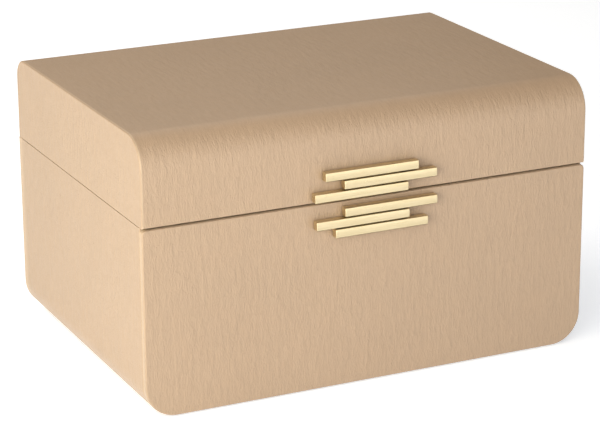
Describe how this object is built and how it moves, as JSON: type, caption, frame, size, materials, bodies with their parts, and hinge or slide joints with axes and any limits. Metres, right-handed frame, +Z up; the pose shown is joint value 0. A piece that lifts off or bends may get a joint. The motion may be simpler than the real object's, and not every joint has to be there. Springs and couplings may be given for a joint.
{
  "type": "jewellery chest with drawer",
  "caption": "Leather-covered jewellery chest with a hinged mirror lid over a lift-out tray, a full-width drawer below, and brass bar pulls.",
  "frame": {"origin": "centre of the footprint on the underside of the felt; the covered body is centred on it in width and depth", "axes": "+Z up, +X to the right as seen from the front, +Y towards the back; the pulls are on the -Y side"},
  "size_m": [0.3, 0.2278, 0.1743],
  "materials": {
    "leather": "fine-grained, satin",
    "brass": "brushed",
    "board": "fibreboard",
    "suede": "short nap",
    "padding": "velvet, padded",
    "felt": "felt",
    "screw": "zinc-plated",
    "mirror": "silvered glass",
    "backing": "grey board",
    "ribbon": "satin ribbon",
    "runner": "waxed hardwood"
  },
  "bodies": {
    "case": {"case_side_left": "board", "case_side_right": "board", "case_bottom": "board", "case_back": "board", "case_shelf": "board", "bay_front_wall": "leather", "case_wrap": "leather", "case_back_wrap": "leather", "bay_liner": "suede", "bay_floor_pad": "padding", "tray_ledges": "suede", "drawer_runners": "runner", "drawer_stop": "runner", "base_felt": "felt", "hinge_left_case_leaf": "brass", "hinge_right_case_leaf": "brass", "hinge_left_pin": "brass", "hinge_right_pin": "brass", "case_hinge_screws": "brass"},
    "lid": {"lid_top": "board", "lid_front": "board", "lid_back": "board", "lid_side_left": "board", "lid_side_right": "board", "lid_wrap": "leather", "lid_side_wrap_left": "leather", "lid_side_wrap_right": "leather", "lid_liner": "suede", "mirror_backing": "backing", "mirror_glass": "mirror", "mirror_frame": "suede", "lid_pull_plate": "brass", "lid_bar_low": "brass", "lid_bar_middle": "brass", "lid_bar_high": "brass", "lid_pull_screws": "screw", "hinge_left_lid_leaf": "brass", "hinge_right_lid_leaf": "brass", "lid_hinge_screws": "brass"},
    "drawer": {"drawer_face_board": "board", "drawer_face_wrap": "leather", "drawer_front": "suede", "drawer_side_left": "suede", "drawer_side_right": "suede", "drawer_back": "suede", "drawer_bottom": "suede", "drawer_pad": "padding", "drawer_divider_long": "suede", "drawer_dividers_short": "suede", "drawer_pull_plate": "brass", "drawer_bar_high": "brass", "drawer_bar_middle": "brass", "drawer_bar_low": "brass", "drawer_pull_screws": "screw"},
    "tray": {"tray_walls": "suede", "tray_bottom": "suede", "tray_dividers": "suede", "tray_ring_rolls": "padding", "tray_pads": "padding", "tray_ribbons": "ribbon"}
  },
  "joints": [
    {"name": "lid_hinge", "type": "hinge", "parent": "case", "child": "lid", "pos_m": [0, 0.1099, 0.12075], "axis": [-1, 0, 0], "range_deg": [0, 96]},
    {"name": "drawer_slide", "type": "slide", "parent": "case", "child": "drawer", "axis": [0, -1, 0], "range_m": [0, 0.149]},
    {"name": "tray_lift", "type": "slide", "parent": "case", "child": "tray", "axis": [0, 0, 1], "range_m": [0, 0.028]}
  ]
}
